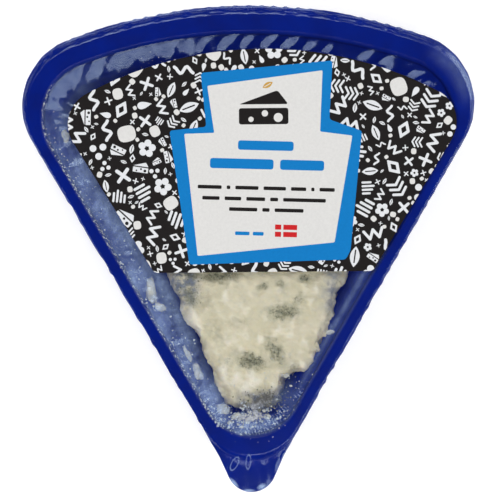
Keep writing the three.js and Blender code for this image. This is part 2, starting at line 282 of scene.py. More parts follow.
upper_rings = [level(mouth(p[0]), p[1]) for p in profile] + band_rings(TRAY_HEIGHT)
upper_rings += [lip(s) for s in stages]
lower_rings = [level(mouth(p[0]), p[1]) for p in under] + band_rings(TRAY_HEIGHT - WALL)
lower_rings += [lip(s, -WALL) for s in stages]
lower_rings = lower_rings[::-1]
tray = rolled("tray_body", np.array(upper_rings + lower_rings))


def material(name, piece):
    """Starts a material of a piece. The helpers below make their nodes in the one started last."""
    global tree
    made = bpy.data.materials.new(name)
    made.use_nodes = True
    piece.data.materials.append(made)
    tree = made.node_tree


def fill(socket, value):
    """Gives a socket a value, or links it to another socket or to a node's first output."""
    if isinstance(value, bpy.types.Node):
        value = value.outputs[0]
    if isinstance(value, bpy.types.NodeSocket):
        tree.links.new(value, socket)
    else:
        socket.default_value = value


def node(kind, inputs=None, **settings):
    """A shader node, with its settings and what its inputs are filled with."""
    made = tree.nodes.new("ShaderNode" + kind)
    for key, value in settings.items():
        setattr(made, key, value)
    for key, value in (inputs or {}).items():
        fill(made.inputs[key], value)
    return made


def coat(inputs):
    """Fills the inputs of a material's surface, and gives back its shader."""
    surface = tree.nodes["Principled BSDF"]
    for key, value in inputs.items():
        fill(surface.inputs[key], value)
    return surface.outputs[0]


def show(shader):
    """Makes a shader what the material shows."""
    tree.links.new(shader.outputs[0], tree.nodes["Material Output"].inputs["Surface"])


def field(name):
    """A value that the mesh holds at each of its points."""
    return node("Attribute", attribute_name=name).outputs["Fac"]


def place_of():
    return node("TexCoord").outputs["Object"]


def grain(size, detail=2.0, roughness=0.5, distortion=0.0):
    """Noise whose features are of a size in millimetres."""
    wanted = {
        "Vector": place_of(),
        "Scale": 1 / (size * MM),
        "Detail": detail,
        "Roughness": roughness,
        "Distortion": distortion,
    }
    return node("TexNoise", wanted).outputs["Fac"]


def spread(value, low, high, to_low=0.0, to_high=1.0):
    """A value's range from low to high, stretched to another range and kept in it."""
    wanted = {0: value, 1: low, 2: high, 3: to_low, 4: to_high}
    return node("MapRange", wanted, clamp=True).outputs[0]


def math_of(operation, a, b=0.0):
    return node("Math", {0: a, 1: b}, operation=operation).outputs[0]


def plus(a, b):
    return math_of("ADD", a, b)


def times(a, b):
    return math_of("MULTIPLY", a, b)


def blend(factor, a, b):
    """Two colours mixed by a factor."""
    return node("Mix", {0: factor, 6: a, 7: b}, data_type="RGBA").outputs[2]


def bumped(height, depth):
    """The normal of a surface raised by a height field, whose full depth is in millimetres."""
    wanted = {"Height": height, "Distance": depth * MM, "Strength": 1.0}
    return node("Bump", wanted).outputs["Normal"]


def srgb(red, green, blue):
    """A colour on a 0 to 255 display scale, in the linear values that a shader takes."""
    shares = [c / 255 for c in (red, green, blue)]
    return [c / 12.92 if c <= 0.04045 else ((c + 0.055) / 1.055) ** 2.4 for c in shares] + [1.0]


TRAY_BLUE = srgb(5, 31, 131)
TRAY_BLUE_DEEP = srgb(4, 25, 117)
material("blue_plastic", tray)
flow = grain(11, 3, 0.55, 0.4)
dust = spread(grain(0.35, 2), 0.55, 0.75)
orange_peel = plus(grain(2.2, 1), times(dust, 0.15))
sheet_face = {
    "Base Color": blend(spread(flow, 0.35, 0.65), TRAY_BLUE, TRAY_BLUE_DEEP),
    "Roughness": spread(flow, 0.3, 0.7, 0.1, 0.18),
    "Normal": bumped(orange_peel, 0.02),
    "IOR": 1.49,
    "Specular IOR Level": 0.2,
}
# Some of the light from outside comes through the walls and the floor, which forming has stretched thin.
# The flange is as thick as the sheet was, and lets little through.
LET_THROUGH = 0.45
FLANGE_LETS_THROUGH = 0.12
TRAY_GLOW = srgb(72, 114, 218)
glow = node("BsdfTranslucent", {"Color": TRAY_GLOW})
up = node("SeparateXYZ", {0: place_of()}).outputs["Z"]
walls_end = (TRAY_HEIGHT - 4) * MM
flange_starts = (TRAY_HEIGHT - 1.5) * MM
through = spread(up, walls_end, flange_starts, LET_THROUGH, FLANGE_LETS_THROUGH)
sheet_mix = node("MixShader", {0: through, 1: coat(sheet_face), 2: glow})
show(sheet_mix)
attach(tray, "root")
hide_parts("tray")

# Cheese.
# A slice of a low wheel of soft blue cheese, cut by wire. It has slumped, its point has crumbled away,
# its sides are torn, and blue mould grows in the pockets that were pricked into it.
CHEESE_POINT = np.array([1.5, -60.8])
CHEESE_MIDDLE = radians(0.55)
CHEESE_HALF = radians(25.15)
CHEESE_RADIUS = 106.6
CHEESE_TIP = 15.6
CHEESE_HEIGHT = 20.6
CHEESE_GAP = 0.2
EDGE_ROUND = 2.4
EDGE_FALL = 1.7
FOOT_DRAW = 3.2
TIP_BLUNT = 4.2
HEEL_WEAR = 5.0
# The right side bulges at this distance from the wedge's point.
BULGE_AT, BULGE_SPREAD, BULGE_HEIGHT = 37, 7, 2.2
POCKETS = [
    # x, y, half-length, half-width, turn in degrees, depth, how mouldy
    (9.4, -17.6, 4.2, 1.7, 4, 1.6, 0.95),
    (0.4, -31.4, 3.9, 1.7, -6, 1.6, 1.0),
    (6.8, -28.6, 4.0, 1.6, -62, 1.5, 0.9),
    (-8.2, -7.2, 5.4, 1.7, 3, 1.5, 0.9),
    (-10.3, -22.4, 3.0, 1.8, -50, 1.3, 0.5),
    (-15.2, -14.0, 3.0, 2.3, -50, 1.5, 0.45),
    (17.2, -8.3, 2.8, 1.6, 30, 1.1, 0.35),
    (3.5, -10.6, 1.6, 0.9, 20, 0.7, 0.85),
    (8.6, -9.8, 1.3, 0.9, -30, 0.6, 0.8),
    (15.4, -8.3, 1.7, 0.9, 10, 0.6, 0.95),
    (13.6, -14.2, 1.9, 1.3, 40, 0.7, 0.75),
    (-3.6, -20.2, 2.6, 1.1, 5, 0.6, 0.62),
    (-6.2, -31.2, 2.2, 1.2, -8, 0.7, 0.62),
    (12.0, -33.5, 1.8, 1.1, 60, 0.7, 0.72),
    (20.0, 11.9, 6.0, 2.2, 25, 1.6, 1.0),
    (-12.0, 15.8, 6.5, 2.3, -18, 1.6, 1.0),
    (4.4, 29.9, 7.0, 2.3, 8, 1.6, 1.0),
    (29.4, 28.0, 6.0, 2.3, -35, 1.5, 1.0),
    (-24.6, 30.7, 6.0, 2.3, 40, 1.5, 1.0),
]
# The right side of the tip has broken off, as far as this from the wedge's point.
BREAK_AT, BREAK_SPREAD, BREAK_DEPTH, BREAK_AT_FOOT = 28.4, 0.6, 6.0, 0.2
# Lumps and a notch on the right side: distance from the wedge's point, half-width and height.
SIDE_LUMPS = [(30.2, 1.5, 1.6), (34.2, 1.1, -0.8), (41.0, 2.4, 0.5)]
ACROSS_STEPS = 170
SEEN_ROWS = 210  # rows of points in the part of the top that shows below the label
HIDDEN_ROWS = 80
SEEN_RADIUS = 60
SIDE_ROWS = 22


def swell(x, y, pitch, seed):
    """A smooth random field of about unit size over a plane, from waves in random directions."""
    draw = np.random.default_rng(seed)
    total = 0
    for _ in range(11):
        turn = draw.uniform(0, tau)
        length = pitch * draw.uniform(0.65, 1.6)
        reach = (x * cos(turn) + y * sin(turn)) / length
        total = total + np.sin(tau * (reach + draw.random()))
    return total / 3


def patch(x, y, at_x, at_y, wide, high, power=2):
    """A soft round patch, 1 in its middle. A higher power makes it flatter, with a steeper rim."""
    return np.exp(-(((x - at_x) / wide) ** power) - (((y - at_y) / high) ** power))


def in_oval(x, y, at_x, at_y, long, wide, turn):
    """A place in a turned oval, in shares of its half-length and half-width."""
    c, s = cos(radians(turn)), sin(radians(turn))
    x, y = x - at_x, y - at_y
    return (x * c + y * s) / long, (y * c - x * s) / wide


def slump(x, y):
    return (
        0.42 * np.sin(0.19 * x + 0.11 * y + 0.6) * np.cos(0.07 * x - 0.23 * y)
        + 0.28 * np.sin(0.47 * x - 0.31 * y + 1.9 + np.sin(0.2 * y))
        + 0.14 * np.sin(0.7 * y + 0.4 * x) * np.cos(0.62 * x - 0.2 * y)
    )


def crumble(radius, share):
    return 0.55 * np.sin(0.21 * radius + 1.4 * np.sin(0.13 * radius) + 1.1 * share) + 0.35 * np.sin(
        0.57 * radius + 2.3 * share + 1.7
    )


# Soft mounds of paste: place, half-length, half-width, turn in degrees and height.
MOUNDS = [
    (-15.9, -19.8, 4.8, 2.6, -62, 0.75),
    (14.5, -27.8, 2.6, 1.5, 80, 0.5),
    (13.8, -32.4, 2.4, 1.3, -12, 0.55),
    (-0.9, -37.0, 4.2, 3.2, 10, 0.7),
    (-7.6, -33.5, 2.6, 4.8, 20, 0.5),
    (9.4, -23.4, 5.2, 1.8, 8, 0.35),
    (-5.0, -15.5, 5.0, 3.2, -30, 0.3),
    (16.5, -13.2, 3.4, 2.0, 50, 0.35),
    (2.0, -25.2, 4.4, 2.4, 5, 0.3),
    (-6.6, -25.4, 4.6, 3.4, 15, 0.35),
]


def mounds(x, y):
    total = 0
    for *oval, high in MOUNDS:
        u, v = in_oval(x, y, *oval)
        total = total + high * np.exp(-((u * u + v * v) ** 1.5))
    return total


def pockets(x, y):
    """How deep the mould pockets are at a point of the top, and how mouldy it is there."""
    depth = np.zeros_like(x)
    mould = np.zeros_like(x)
    wander = 0.28 * swell(x, y, 2.6, 21)
    for *oval, deep, mouldy in POCKETS:
        u, v = in_oval(x, y, *oval)
        depth = np.maximum(depth, deep * np.exp(-(u * u + v * v)))
        ragged = 0.8 * u * u + 0.6 * (v + wander) ** 2
        mould = np.maximum(mould, mouldy * np.exp(-0.55 * ragged**1.5))
    return depth, mould


def paste(across, radius, share):
    """The bent block: across runs from -1 to 1 between the cut sides, share from the foot to the top."""
    lengthwise = ((radius - CHEESE_TIP) / (CHEESE_RADIUS - CHEESE_TIP)) ** (1 / 1.2)
    sideness = np.abs(across) ** np.minimum(5, radius / 12)
    foot = FOOT_DRAW * (1 - share) ** 2
    to_side = (1 - np.abs(across)) * CHEESE_HALF * radius
    to_end = np.minimum(radius - CHEESE_TIP, CHEESE_RADIUS - radius)
    near = np.maximum(0, 1 - np.minimum(to_side, to_end) / EDGE_ROUND)
    worn = (
        TIP_BLUNT * across**2 * (1 - lengthwise) ** 8
        - HEEL_WEAR * across**8 * lengthwise**12
        - (foot + crumble(across * CHEESE_HALF * radius, share) / 2)
        * (lengthwise**16 - (1 - lengthwise) ** 6)
    )
    angle = CHEESE_MIDDLE + across * CHEESE_HALF
    x = CHEESE_POINT[0] + (radius + worn) * np.sin(angle)
    y = CHEESE_POINT[1] + (radius + worn) * np.cos(angle)
    bulge = share * BULGE_HEIGHT * bell((radius - BULGE_AT) / BULGE_SPREAD)
    for middle, width, height in SIDE_LUMPS:
        bulge = bulge + share * height * bell((radius - middle) / width)
    reached = BREAK_DEPTH / (1 + np.exp((radius - BREAK_AT) / BREAK_SPREAD))
    broken = reached * (BREAK_AT_FOOT + (1 - BREAK_AT_FOOT) * share) * radius / BREAK_AT
    bulge = np.where(across > 0, bulge - broken, 0)
    x = x - np.sign(across) * sideness * (foot + crumble(radius, share) - bulge)
    # Torn edges: the sides and the tip are pulled about at two scales.
    torn = np.maximum(sideness, (1 - lengthwise) ** 6)
    height = share * 9
    torn = torn * np.where(across > 0, 1.0, 0.6)
    x = x + torn * (0.42 * swell(x + height, y - height, 4.2, 31) + 0.16 * swell(x - height, y, 1.3, 32))
    y = y + torn * (0.36 * swell(x, y + height, 3.6, 33) + 0.14 * swell(x, y - height, 1.2, 34))
    depth, mould = pockets(x, y)
    relief = 0.2 * swell(x, y, 4.6, 35) + 0.08 * swell(x * 0.7, y, 1.7, 36) + 0.03 * swell(x, y, 0.7, 37)
    grit = mould * 0.16 * swell(x, y, 0.75, 38)
    rise = relief + mounds(x, y)
    top = CHEESE_HEIGHT - EDGE_FALL * near**2 + slump(x, y) - depth + rise + grit
    return np.stack([x, y, WALL + CHEESE_GAP + share * top], -1), mould, rise


def grey_patches(x, y):
    """Where the paste turns a bluish grey, in patches: beside the label's foot on the left, on the right
    side and round the tip.
    """
    left = 1.25 * patch(x, y, -18.6, -9.0, 4.4, 7, 4)
    right = 0.8 * np.exp(-(((x - 23.0) / 3.0) ** 2) - (((y + 12) / 8) ** 4))
    return left + right + 1.2 * patch(x, y, 2.5, -44.5, 6.5, 4.6, 4)


seen = np.linspace(CHEESE_TIP, SEEN_RADIUS, SEEN_ROWS, endpoint=False)
hidden = np.linspace(SEEN_RADIUS, CHEESE_RADIUS, HIDDEN_ROWS + 1)
reaches = np.concatenate([seen, hidden])
across_at = np.linspace(-1, 1, ACROSS_STEPS + 1)


def vertices(geom):
    return [g for g in geom if isinstance(g, bmesh.types.BMVert)]


bm = bmesh.new()
mould_layer = bm.verts.layers.float.new("mould")
grey_patch_layer = bm.verts.layers.float.new("greyed")
rise_layer = bm.verts.layers.float.new("rise")
bmesh.ops.create_grid(bm, x_segments=ACROSS_STEPS, y_segments=len(reaches) - 1, size=1)
grid_across = np.array([across_at[round((v.co.x + 1) / 2 * ACROSS_STEPS)] for v in bm.verts])
grid_reach = np.array([reaches[round((v.co.y + 1) / 2 * (len(reaches) - 1))] for v in bm.verts])
at_top, mouldiness, rises = paste(grid_across, grid_reach, np.ones(len(grid_reach)))
for v, place, amount, greyed, rise in zip(bm.verts, at_top, mouldiness, grey_patches(*at_top.T[:2]), rises):
    v.co = place * MM
    v[mould_layer] = amount
    v[grey_patch_layer] = greyed
    v[rise_layer] = rise
bm.verts.ensure_lookup_table()
rim = [e for e in bm.edges if e.is_boundary]
rim_index = {v: v.index for e in rim for v in e.verts}
for k in range(SIDE_ROWS):
    share = 1 - (k + 1) / SIDE_ROWS
    pulled = bmesh.ops.extrude_edge_only(bm, edges=rim)["geom"]
    rim = [g for g in pulled if isinstance(g, bmesh.types.BMEdge) and g.is_boundary]
    below = {}
    for v in vertices(pulled):
        above = next(e.other_vert(v) for e in v.link_edges if e.other_vert(v) in rim_index)
        below[v] = rim_index[above]
    order = list(below.values())
    places, amounts, _ = paste(grid_across[order], grid_reach[order], np.full(len(order), share))
    for v, place, amount in zip(below, places, amounts):
        v.co = place * MM
        v[mould_layer] = amount
    rim_index = below
bmesh.ops.holes_fill(bm, edges=rim, sides=0)
cheese = shown("cheese_wedge", bm, 60)

PASTE = srgb(219, 212, 187)
PASTE_PAINTED_HIGHLIGHT = srgb(233, 228, 210)
PASTE_WARM = srgb(212, 205, 177)
PASTE_PAINTED_SHADE = srgb(203, 197, 171)
PASTE_GREY = srgb(178, 178, 162)
PASTE_BLUE_GREY = srgb(116, 124, 140)
PASTE_MOULDY = srgb(146, 147, 126)
MOULD_GREEN = srgb(122, 124, 104)
MOULD_DARK = srgb(70, 71, 61)
material("blue_cheese", cheese)
mould = field("mould")
warm = spread(grain(7, 3, 0.55, 0.5), 0.4, 0.65)
grey = spread(grain(4.5, 4, 0.6, 0.7), 0.56, 0.72, 0, 0.55)
rise = field("rise")
colour = blend(warm, PASTE, PASTE_WARM)
# Painted shade and painted highlight: the paste is darker in the hollows of its relief and paler on its
# mounds, as light would fall on them.
colour = blend(spread(rise, -0.5, 0.3, 0.7, 0.0), colour, PASTE_PAINTED_SHADE)
colour = blend(spread(rise, 0.2, 0.65, 0.0, 0.85), colour, PASTE_PAINTED_HIGHLIGHT)
colour = blend(grey, colour, PASTE_GREY)
greyed = field("greyed")
greyed_share = times(greyed, spread(grain(2.2, 4, 0.65), 0.35, 0.6, 0.1, 1.0))
colour = blend(greyed_share, colour, PASTE_BLUE_GREY)
halo = plus(mould, times(grain(1.6, 3), 1.1))
colour = blend(spread(halo, 0.75, 1.6, 0, 0.6), colour, PASTE_MOULDY)
threads = plus(times(mould, 0.5), grain(0.75, 4, 0.85))
threads = plus(threads, times(greyed, 0.25))
colour = blend(spread(threads, 0.84, 1.0, 0, 0.75), colour, MOULD_GREEN)
colour = blend(spread(threads, 1.0, 1.1, 0, 0.9), colour, MOULD_DARK)
stray = spread(grain(0.7, 2, 0.6), 0.71, 0.76, 0, 0.5)
colour = blend(stray, colour, MOULD_GREEN)
curd = plus(grain(0.5, 4, 0.65), times(grain(2.4, 2), 2))
moist_paste = {
    "Base Color": colour,
    "Roughness": spread(grain(0.8, 3), 0.3, 0.7, 0.5, 0.75),
    "Normal": bumped(curd, 0.14),
    "Subsurface Weight": 0.35,
    "Subsurface Radius": (1.0, 0.75, 0.45),
    "Subsurface Scale": 1.5 * MM,
    "IOR": 1.4,
}
coat(moist_paste)
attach(cheese, "root")
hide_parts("cheese")

# Lid film.
# A clear film is heat-sealed to the band, and cut with the tray. It sags over the well, and the seal has
# drawn it into short wrinkles. Whey and fat have smeared its underside on the left and round the tip.
FILM = 0.2
FILM_GAP = 0.2
FILM_SAG = 1.2
SAG_REACH = 36
FILM_TUCK = 0.55  # how far the seal has drawn the film down inside the mouth
WRINKLE = 0.13
TAB_RIPPLE = 0.22
FILM_LOW = TRAY_HEIGHT + FILM_GAP
FILM_MIDDLE = np.array([0.0, 14.0])
FILM_KEPT = MOUTH_TIP_RADIUS * 0.9
FILM_HELD = 0.7  # the film stays flat this far inside the mouth


def to_sides(x, y):
    """The distance to the nearer side or arc of the mouth, its round corners left aside."""
    far = np.hypot(x, y - SECTOR_POINT[1])
    angle = np.arctan2(x, y - SECTOR_POINT[1])
    right = far * np.sin(HALF_ANGLE - angle) - MOUTH_SIDE_INSET
    left = far * np.sin(HALF_ANGLE + angle) - MOUTH_SIDE_INSET
    soft = 3.0  # over how many millimetres one side's pull goes over into the other's
    pulls = sum(np.exp(-side / soft) for side in (left, right, MOUTH_ARC_RADIUS - far))
    return np.maximum(-soft * np.log(pulls), 0)


def sag(x, y):
    """How far the film hangs below the band at a point."""
    share = unit(to_sides(x, y) / SAG_REACH)
    return FILM_SAG * share * (2 - share)


insets = [0, 0.4, 0.7, 0.8, 1.0, 1.3, 1.65, 2.05, 2.5, 3.0, 3.6, 4.2, 4.9, 5.7, 6.6, 7.6, 8.8, 10.2, 11.6]
mouth_along, mouth_whole = lengths_round(mouth(0))
mouth_turns = mouth_along / mouth_whole


def film_ring(outline, inset):
    """One ring of the film's underside: it leaves the band at the mouth, sags, and is wrinkled."""
    inset = max(inset - FILM_HELD, 0)
    away = unit(inset / 4.3)
    x, y = outline.T
    hang = sag(x, y) * away * away * (3 - 2 * away)
    settle = unit(inset / 7)
    uneven_pull = 1 - 0.45 * np.clip(x / 28, -0.7, 1) * unit((y - 15) / 15)
    tuck = FILM_TUCK * uneven_pull * settle * (2 - settle)
    reach = np.where(y > -10, 7.0, 2.6)
    quiet = np.where((x > 0) & (y < 20), 0.4, 1.0)
    rise = unit(inset / 2.5) * bell(np.maximum(inset - 3, 0) / reach)
    folds = crimp(mouth_turns, inset * 1.6, 44, 41, -0.3)
    folds = folds + 0.25 * crimp(mouth_turns, inset * 2, 90, 42, -0.3)
    at_tip = bell((y + 48) / 9) * unit(inset / 0.6)
    fine = 0.16 * at_tip * exp(-((inset / 2.2) ** 2)) * crimp(mouth_turns, inset, 260, 43)
    long_waves = 0.05 * unit(inset / 4) * swell(x, y, 17, 44)
    z = FILM_LOW - hang - tuck + WRINKLE * quiet * rise * folds / 1.5 + fine + long_waves
    return np.column_stack([outline, z])


def film_lip(stage):
    ring = lip(stage, FILM_GAP)
    x, y, _ = ring.T
    on_tab = unit((-55 - y) / 3) * unit(stage - 0.9) * (2 - max(stage, 1))
    ring[:, 2] += TAB_RIPPLE * on_tab * np.abs(swell(x * 1.6, y * 0.6, 5.5, 45))
    return ring


under_rings = [film_lip(s) for s in stages[::-1]] + band_rings(FILM_LOW)[::-1]
under_rings += [film_ring(mouth(i), i) for i in insets]
kept = mouth(FILM_KEPT)
for share in np.linspace(0, 0.985, 16) ** 0.9:
    inner = kept + (FILM_MIDDLE - kept) * share
    under_rings.append(film_ring(inner, FILM_KEPT + 30 * share))
under_rings = np.array(under_rings)
over_rings = under_rings[::-1] + [0, 0, FILM]
film_points = np.concatenate([over_rings, under_rings])


def off_cheese(x, y):
    """How far a point is outside the cheese's top as seen from above, less than 0 within it."""
    dx, dy = x - CHEESE_POINT[0], y - CHEESE_POINT[1]
    far = np.hypot(dx, dy)
    angle = np.arctan2(dx, dy) - CHEESE_MIDDLE
    beside = far * np.sin(np.clip(np.abs(angle) - CHEESE_HALF, -1.5, 1.5))
    return np.maximum(np.maximum(beside, CHEESE_TIP - far), far - CHEESE_RADIUS)


def smear_and_painted_sheen(x, y, inward):
    """How much whey and fat cling to the film's underside, from 0 to 1, with painted reflections added on
    the right and at the upper left.
    """
    blotch = 0.55 + 0.16 * swell(x, y, 9, 51) + 0.1 * swell(x, y, 2.6, 52)
    left = (x < 0) * bell(np.clip(inward - 7, 0, None) / 5) * unit(inward / 1.2)
    left = left * unit((46 - y) / 26)
    tip = 0.5 * patch(x, y, 1, -46, 11, 5) * unit(inward)
    # Painted reflection: a pale patch at the upper left stands for light mirrored by the film there.
    upper_left_sheen = 0.16 * patch(x, y, -45, 44, 12, 9)
    # Painted reflection: a pale stripe along the film's fold on the right.
    right = 0.3 * (x > 0) * (y < 10) * bell((inward - 2.6) / 0.6)
    right_wide = 0.09 * (x > 0) * (y < 0) * bell(np.clip(inward - 3, 0, None) / 3)
    inside = (inward > 0) * unit(0.2 + off_cheese(x, y) / 3)
    notch = 0.3 * (inward > 0) * patch(x, y, 9.5, -40.5, 3.6, 3.4)
    soft = np.clip(blotch, 0.1, 1.2) * unit(left + tip + upper_left_sheen)
    return np.maximum(inside * (soft + right + right_wide), notch)


# Crumbled paste and mould are pressed flat against the film at the cheese's tip: place, half-length,
# half-width, turn in degrees and how much, first the dark streak, then the pale one outside it.
MUSH = [(2.8, -42.2, 5.2, 1.9, 30, 1.0), (0.2, -46.6, 5.2, 1.6, 4, 0.88)]


def mush(x, y):
    total = 0
    for *oval, amount in MUSH:
        u, v = in_oval(x, y, *oval)
        total = np.maximum(total, amount * np.exp(-((u * u + v * v) ** 1.5)))
    return total


fx, fy = film_points[:, :, 0], film_points[:, :, 1]
outside = len(stages) + len(band_shares)
within = len(under_rings) - outside - len(insets)
ring_insets = np.array([0] * outside + insets + [FILM_KEPT] * within)
ring_insets = np.concatenate([ring_insets[::-1], ring_insets])[:, None] + 0 * fx
inward = np.where(ring_insets >= FILM_KEPT, np.maximum(FILM_KEPT, to_sides(fx, fy)), ring_insets)
within_band = np.zeros(len(over_rings) - outside)
share_out = np.concatenate([within_band, band_shares, np.ones(len(stages))])
share_out = np.concatenate([share_out, share_out[::-1]])[:, None]
beyond_band = (share_out == 1) * 1.0
at_tip = unit((-50 - fy) / 5)
on_lip = beyond_band * (1 - 0.9 * at_tip)
# At the right corner the film over the band and lip is painted paler: a painted reflection. The film is
# matt along the tab's bend and in the dents of the lip's bend.
painted_corner_reflection = bell(((fx - 56.5) / 7) ** 2 + ((fy - 48) / 8.5) ** 2)
smear_and_sheen_mask = smear_and_painted_sheen(fx, fy, inward) + 0.2 * unit(2 * share_out - 0.3) * painted_corner_reflection
on_bend = np.concatenate([np.zeros(len(over_rings) - len(stages)), [s < 1.2 for s in stages]])
matt = np.concatenate([on_bend, on_bend[::-1]])[:, None] * np.maximum(at_tip, dented**0.3)
mushy = mush(fx, fy) * (inward > 0.3)
film_fields = {"smear_and_painted_sheen": smear_and_sheen_mask, "on_lip": on_lip, "mush": mushy, "matt": matt}
film = rolled("lid_film_sheet", film_points, film_fields)

# Whey and fat take this pale colour, and so do the painted reflections and highlights in the film's veil.
SMEAR_AND_SHEEN_COLOUR = srgb(184, 210, 252)
SHEEN_COLOUR = srgb(206, 230, 255)
MUSH_DARK = srgb(92, 92, 92)
MUSH_PALE = srgb(184, 188, 196)
material("clear_film", film)
tree.nodes.remove(tree.nodes["Principled BSDF"])
smear_and_sheen = field("smear_and_painted_sheen")
lip_part = field("on_lip")
fine_grain = spread(grain(0.5, 4, 0.65), 0.3, 0.7, 0.55, 1.3)
cloud = spread(grain(3.5, 4, 0.6, 0.6), 0.3, 0.7, 0.6, 1.2)
# The veil is whey and fat on the film's underside, plus painted light: reflections on the right, at the
# upper left and at the right corner, and highlights on the tab.
veil = times(smear_and_sheen, 0.24)
veil = times(veil, times(cloud, fine_grain))
pressed = field("mush")
pressed_grain = times(grain(0.9, 5, 0.8), 1.4)
pressed = plus(times(pressed, 0.6), pressed_grain)
pressed = spread(pressed, 1.02, 1.32, 0.0, 0.82)
height_on_pack = node("SeparateXYZ", {0: place_of()}).outputs["Y"]
shade = plus(height_on_pack, times(grain(1.3, 3, 0.7), 7 * MM))
mush_hue = blend(spread(shade, -41.5 * MM, -38.5 * MM), MUSH_PALE, MUSH_DARK)

# On the tab the film has come loose in two narrow loops, and its cut edge curls up in three places.
# A light line along each loop's rim and a pale patch on each curl are painted highlights in the film's
# veil.
TAB_LOOPS = [(-4.7, -59.5, 0.85, 2.0, -28), (-0.9, -59.0, 0.65, 2.0, -5)]
TAB_CURL_GLINTS = [(-0.9, -67.0, 1.9, 0.5, 0), (2.8, -65.9, 1.5, 0.8, 22), (-4.9, -64.9, 0.7, 2.0, 40)]


def oval(x, y, wide, long, turn):
    """How far out a point lies in an ellipse on the pack, 1 on its rim."""
    wanted = {
        "Vector": place_of(),
        "Location": (x * MM, y * MM, 0),
        "Rotation": (0, 0, radians(turn)),
        "Scale": (wide * MM, long * MM, 1),
    }
    local = node("Mapping", wanted, vector_type="TEXTURE").outputs[0]
    return node("VectorMath", {0: local}, operation="LENGTH").outputs["Value"]


# Painted highlights: a thin light line along each loop's rim, and a pale patch on each curl of the edge.
for spot in TAB_LOOPS:
    off_rim = math_of("ABSOLUTE", math_of("SUBTRACT", oval(*spot), 1.0))
    crease_highlight = spread(off_rim, 0.02, 0.2, 0.16, 0.0)
    veil = math_of("MAXIMUM", veil, times(crease_highlight, fine_grain))
for spot in TAB_CURL_GLINTS:
    curl_glint = spread(oval(*spot), 0.3, 1.1, 0.34, 0.0)
    veil = math_of("MAXIMUM", veil, curl_glint)
relief = bumped(grain(1.1, 2), 0.004)
polish = spread(lip_part, 0.0, 1.0, 0.095, 0.22)
mirrored_light = {"Color": SHEEN_COLOUR, "Roughness": polish, "Normal": relief}
gloss = node("BsdfGlossy", mirrored_light)
# The share of light that a face of the film mirrors, from its value seen square on up to the grazing view.
MIRRORED = 0.046
facing = node("LayerWeight", {"Blend": 0.5, "Normal": relief}).outputs["Facing"]
grazing = times(math_of("POWER", facing, 5.0), 1 - MIRRORED)
facing = plus(grazing, MIRRORED)
matt_part = field("matt")
facing = times(facing, spread(matt_part, 0.0, 1.0, 1.0, 0.15))
uneven = spread(grain(2.4, 3, 0.6), 0.32, 0.68, 0.6, 1.25)
facing = times(facing, uneven)
see_through = node("BsdfTransparent", {"Color": (0.99, 0.99, 0.995, 1)})
sheen = node("MixShader", {0: facing, 1: see_through, 2: gloss})
veil = math_of("MAXIMUM", veil, pressed)
clinging = blend(spread(pressed, 0.0, 0.2), SMEAR_AND_SHEEN_COLOUR, mush_hue)
fat = node("BsdfDiffuse", {"Color": clinging})
whole_film = node("MixShader", {0: veil, 1: sheen, 2: fat})
show(whole_film)
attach(film, "root")
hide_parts("lid_film")

# Crumbs.
# Bits of the paste have broken off: pale lumps pressed against the film, fine specks that cling to it
# along the seal, and dark grains of mould by the tip. They hang on the film's underside.
CRUMB_SEED = 11
CRUMB_GAP = 0.05
SEAL_CLEAR = 0.6  # no crumb lies nearer to the seal
draw = np.random.default_rng(CRUMB_SEED)
film_under = KDTree(under_rings.shape[0] * under_rings.shape[1])
for index, (x, y, z) in enumerate(under_rings.reshape(-1, 3)):
    film_under.insert((x, y, 0), index)
film_under.balance()
under_flat = under_rings.reshape(-1, 3)


def film_over(x, y):
    """The height of the film's underside over a point."""
    return under_flat[film_under.find((x, y, 0))[1]][2]


def crumbs(name, places, detail, rough):
    """Lumps in one piece. Each has a middle, a half-length, half-width and half-height, and a turn."""
    ball = bmesh.new()
    bmesh.ops.create_icosphere(ball, subdivisions=detail, radius=1)
    round_mesh = bpy.data.meshes.new("ball")
    ball.to_mesh(round_mesh)
    ball.free()
    at = np.array([v.co[:] for v in round_mesh.vertices])
    bm = bmesh.new()
    solid_layer = bm.verts.layers.float.new("solid")
    spots = []
    solidity = []
    for number, (x, y, long, wide, high, turn) in enumerate(places):
        bm.from_mesh(round_mesh)
        c, s = cos(turn), sin(turn)
        seed = 100 + number % 40
        bulge = 1 + rough * swell(at[:, 0] + at[:, 2], at[:, 1] - at[:, 2], 1.7, seed)
        bulge = bulge + 0.4 * rough * swell(at[:, 0] - at[:, 2], at[:, 1] + at[:, 2], 0.6, seed + 50)
        p = at * bulge[:, None] * [long, wide, high]
        z = film_over(x, y) - high - CRUMB_GAP + np.minimum(p[:, 2], high)
        solidity.append(unit(at[:, 2] / 0.7))
        spots.append(np.stack([x + p[:, 0] * c - p[:, 1] * s, y + p[:, 0] * s + p[:, 1] * c, z], 1))
    for v, spot, solid in zip(bm.verts, np.concatenate(spots), np.concatenate(solidity)):
        v.co = spot * MM
        v[solid_layer] = solid
    made = shown(name, bm, 60)
    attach(made, "root")
    return made


def speck(x, y, low, high, power, longest):
    """A flat speck at a place, with a random turn and size. Small ones are the most common."""
    radius = low + (high - low) * draw.random() ** power
    long = radius * draw.uniform(0.8, longest)
    return x, y, long, radius, radius * 0.6, draw.uniform(0, tau)


def scattered(count, centre, size, low, high):
    """Specks strewn round a point, with sizes between two limits."""
    places = []
    while len(places) < count:
        x = draw.normal(centre[0], size[0])
        y = draw.normal(centre[1], size[1])
        if to_sides(np.array(x), np.array(y)) >= SEAL_CLEAR:
            places.append(speck(x, y, low, high, 2.5, 1.6))
    return places


